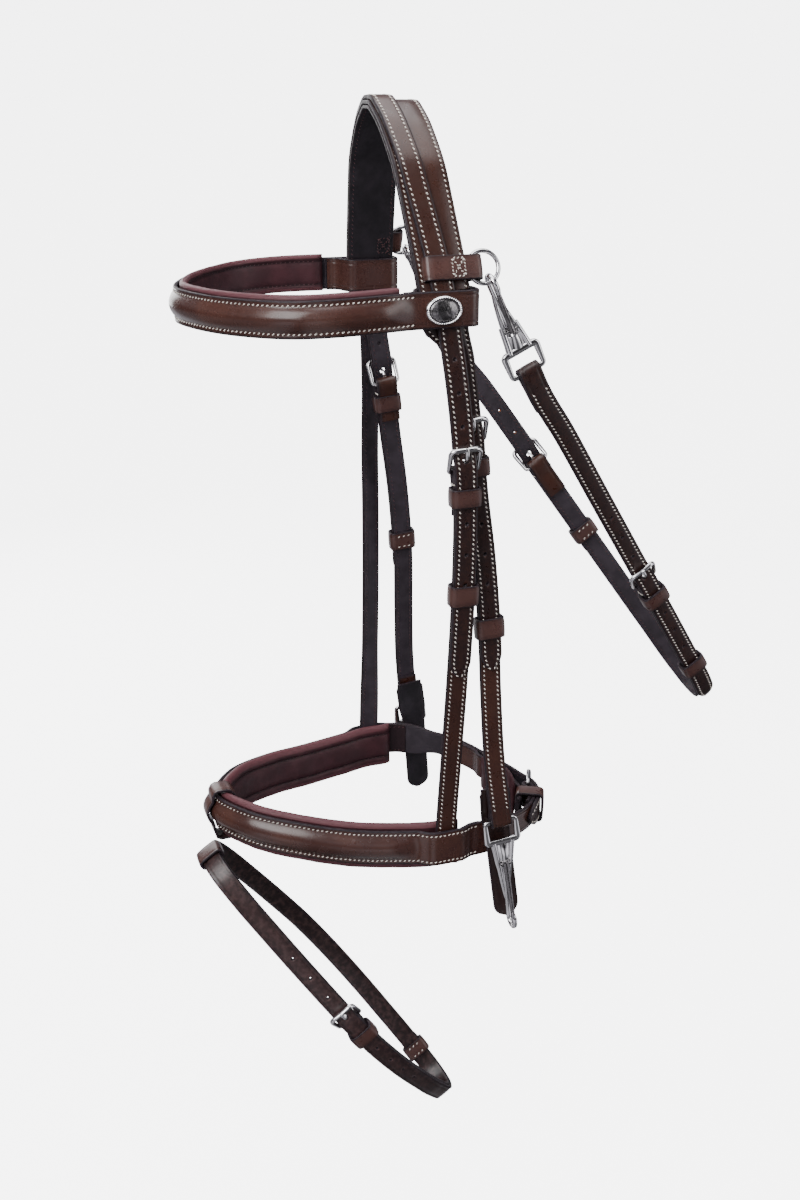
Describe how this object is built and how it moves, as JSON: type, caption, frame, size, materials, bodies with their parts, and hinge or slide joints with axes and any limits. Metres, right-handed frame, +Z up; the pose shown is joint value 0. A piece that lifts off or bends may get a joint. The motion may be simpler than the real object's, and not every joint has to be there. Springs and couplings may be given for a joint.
{
  "type": "bridle",
  "caption": "Padded leather bridle with raised browband, flash and crank noseband, buckled cheekpieces with snap hooks for a bit, and a clip-on throatlatch.",
  "frame": {"origin": "the underside of the crown's lining at the middle of the poll", "axes": "+Z up, -Y the way the horse faces, +X the horse's near (left) side"},
  "size_m": [0.2436, 0.4432, 0.8405],
  "materials": {
    "leather": "smooth dark brown",
    "lining": "matt near-black",
    "padding": "soft dark red-brown",
    "polished_steel": "polished"
  },
  "bodies": {
    "headpiece": {"crown_leather": "leather", "crown_lining": "lining", "sliphead_strap": "leather", "ring_keeper_near": "leather", "ring_keeper_far": "leather", "browband_leather": "leather", "browband_padding": "padding", "rosette_near": "polished_steel", "rosette_far": "polished_steel"},
    "noseband": {"hanger_billet": "leather", "hanger_near_strap": "leather", "hanger_buckle_frame": "polished_steel", "hanger_far_strap": "leather", "noseband_leather": "leather", "noseband_padding": "padding", "flash_carrier": "leather", "crank_link": "polished_steel", "crank_strap": "leather", "crank_buckle_frame": "polished_steel", "crank_keeper": "leather", "chin_pad": "padding"},
    "hanger_tongue": {"hanger_buckle_tongue": "polished_steel"},
    "hanger_runner": {"hanger_runner": "leather"},
    "crank_tongue": {"crank_buckle_tongue": "polished_steel"},
    "flash": {"flash_strap": "leather", "flash_loop": "leather", "flash_buckle_frame": "polished_steel"},
    "flash_tongue": {"flash_buckle_tongue": "polished_steel"},
    "flash_runner": {"flash_runner": "leather"},
    "throatlatch": {"throat_strap": "leather", "throat_snap_near_body": "polished_steel", "throat_billet_near": "leather", "throat_buckle_near_frame": "polished_steel", "throat_snap_far_body": "polished_steel", "throat_billet_far": "leather", "throat_buckle_far_frame": "polished_steel"},
    "cheek_near": {"cheek_billet_near": "leather", "cheek_strap_near": "leather", "cheek_buckle_near_frame": "polished_steel", "guard_near": "leather"},
    "cheek_tongue_near": {"cheek_buckle_near_tongue": "polished_steel"},
    "cheek_runner_near": {"cheek_runner_near": "leather"},
    "bit_snap_near": {"bit_snap_near_body": "polished_steel"},
    "bit_gate_near": {"bit_snap_near_gate": "polished_steel"},
    "ring_near": {"ring_near": "polished_steel"},
    "throat_gate_near": {"throat_snap_near_gate": "polished_steel"},
    "throat_tongue_near": {"throat_buckle_near_tongue": "polished_steel"},
    "throat_runner_near": {"throat_runner_near": "leather"},
    "cheek_far": {"cheek_billet_far": "leather", "cheek_strap_far": "leather", "cheek_buckle_far_frame": "polished_steel", "guard_far": "leather"},
    "cheek_tongue_far": {"cheek_buckle_far_tongue": "polished_steel"},
    "cheek_runner_far": {"cheek_runner_far": "leather"},
    "bit_snap_far": {"bit_snap_far_body": "polished_steel"},
    "bit_gate_far": {"bit_snap_far_gate": "polished_steel"},
    "ring_far": {"ring_far": "polished_steel"},
    "throat_gate_far": {"throat_snap_far_gate": "polished_steel"},
    "throat_tongue_far": {"throat_buckle_far_tongue": "polished_steel"},
    "throat_runner_far": {"throat_runner_far": "leather"}
  },
  "joints": [
    {"name": "noseband_swing", "type": "hinge", "parent": "headpiece", "child": "noseband", "pos_m": [0, 0.00971, -0.118], "axis": [-1, 0, 0], "range_deg": [0, 10]},
    {"name": "hanger_tongue_lift", "type": "hinge", "parent": "noseband", "child": "hanger_tongue", "pos_m": [0.09621, 0.01815, -0.22483], "axis": [0, 0.9993, 0.0379], "range_deg": [0, 5]},
    {"name": "hanger_runner_slide", "type": "slide", "parent": "noseband", "child": "hanger_runner", "axis": [-0.0388, -0.0118, -0.9992], "range_m": [-0.006, 0.006]},
    {"name": "crank_tongue_lift", "type": "hinge", "parent": "noseband", "child": "crank_tongue", "pos_m": [0.03938, 0.10051, -0.516], "axis": [0, 0, -1], "range_deg": [0, 5]},
    {"name": "flash_swing", "type": "hinge", "parent": "noseband", "child": "flash", "pos_m": [0, -0.1465, -0.538], "axis": [1, 0, 0], "range_deg": [-15, 15]},
    {"name": "flash_tongue_lift", "type": "hinge", "parent": "flash", "child": "flash_tongue", "pos_m": [0.06371, -0.0569, -0.67847], "axis": [0, 0.8181, 0.575], "range_deg": [0, 5]},
    {"name": "flash_runner_slide", "type": "slide", "parent": "flash", "child": "flash_runner", "axis": [-0.4778, -0.5051, 0.7187], "range_m": [-0.005, 0.005]},
    {"name": "throatlatch_swing", "type": "hinge", "parent": "headpiece", "child": "throatlatch", "pos_m": [0, 0.0403, -0.10324], "axis": [1, 0, 0], "range_deg": [-12, 15]},
    {"name": "cheek_near_swing", "type": "hinge", "parent": "headpiece", "child": "cheek_near", "pos_m": [0.08, 0.00971, -0.118], "axis": [1, 0, 0], "range_deg": [0, 6]},
    {"name": "cheek_tongue_near_lift", "type": "hinge", "parent": "cheek_near", "child": "cheek_tongue_near", "pos_m": [0.08101, 0.02888, -0.20916], "axis": [0, 0.9954, 0.0962], "range_deg": [0, 5]},
    {"name": "cheek_runner_near_slide", "type": "slide", "parent": "cheek_near", "child": "cheek_runner_near", "axis": [0.0777, 0.0517, -0.9956], "range_m": [-0.006, 0.006]},
    {"name": "bit_snap_near_swing", "type": "hinge", "parent": "cheek_near", "child": "bit_snap_near", "pos_m": [0.10363, 0.05004, -0.49455], "axis": [0, -0.9956, -0.0932], "range_deg": [0, 40]},
    {"name": "bit_gate_near_press", "type": "hinge", "parent": "bit_snap_near", "child": "bit_gate_near", "pos_m": [0.11099, 0.05315, -0.52775], "axis": [0, 0.9956, 0.0932], "range_deg": [0, 8], "stiffness_Nm_per_rad": 0.04, "springref_deg": -14.32},
    {"name": "ring_near_swing", "type": "hinge", "parent": "headpiece", "child": "ring_near", "pos_m": [0.08073, 0.02513, -0.09426], "axis": [0.3457, 0, -0.9384], "range_deg": [0, 2.5]},
    {"name": "throat_gate_near_press", "type": "hinge", "parent": "throatlatch", "child": "throat_gate_near", "pos_m": [0.08703, 0.05612, -0.13642], "axis": [0, -0.9026, -0.4305], "range_deg": [0, 8], "stiffness_Nm_per_rad": 0.04, "springref_deg": -14.32},
    {"name": "throat_tongue_near_lift", "type": "hinge", "parent": "throatlatch", "child": "throat_tongue_near", "pos_m": [0.04159, 0.19135, -0.3423], "axis": [0, 0.8254, 0.5646], "range_deg": [0, 5]},
    {"name": "throat_runner_near_slide", "type": "slide", "parent": "throatlatch", "child": "throat_runner_near", "axis": [-0.1577, 0.5575, -0.8151], "range_m": [-0.005, 0.005]},
    {"name": "cheek_far_swing", "type": "hinge", "parent": "headpiece", "child": "cheek_far", "pos_m": [-0.08, 0.00971, -0.118], "axis": [1, 0, 0], "range_deg": [0, 6]},
    {"name": "cheek_tongue_far_lift", "type": "hinge", "parent": "cheek_far", "child": "cheek_tongue_far", "pos_m": [-0.08106, 0.02184, -0.20196], "axis": [0, -0.9921, -0.1251], "range_deg": [0, 5]},
    {"name": "cheek_runner_far_slide", "type": "slide", "parent": "cheek_far", "child": "cheek_runner_far", "axis": [-0.0714, 0.0794, -0.9943], "range_m": [-0.006, 0.006]},
    {"name": "bit_snap_far_swing", "type": "hinge", "parent": "cheek_far", "child": "bit_snap_far", "pos_m": [-0.10363, 0.04961, -0.49454], "axis": [0, 0.9936, 0.113], "range_deg": [0, 40]},
    {"name": "bit_gate_far_press", "type": "hinge", "parent": "bit_snap_far", "child": "bit_gate_far", "pos_m": [-0.11098, 0.05338, -0.52768], "axis": [0, -0.9936, -0.113], "range_deg": [0, 8], "stiffness_Nm_per_rad": 0.04, "springref_deg": -14.32},
    {"name": "ring_far_swing", "type": "hinge", "parent": "headpiece", "child": "ring_far", "pos_m": [-0.08073, 0.02513, -0.09426], "axis": [0.3457, 0, 0.9384], "range_deg": [0, 2.5]},
    {"name": "throat_gate_far_press", "type": "hinge", "parent": "throatlatch", "child": "throat_gate_far", "pos_m": [-0.08703, 0.05612, -0.13642], "axis": [0, 0.9026, 0.4305], "range_deg": [0, 8], "stiffness_Nm_per_rad": 0.04, "springref_deg": -14.32},
    {"name": "throat_tongue_far_lift", "type": "hinge", "parent": "throatlatch", "child": "throat_tongue_far", "pos_m": [-0.05792, 0.14253, -0.27092], "axis": [0, -0.8254, -0.5646], "range_deg": [0, 5]},
    {"name": "throat_runner_far_slide", "type": "slide", "parent": "throatlatch", "child": "throat_runner_far", "axis": [0.1854, 0.5548, -0.8111], "range_m": [-0.005, 0.005]}
  ]
}
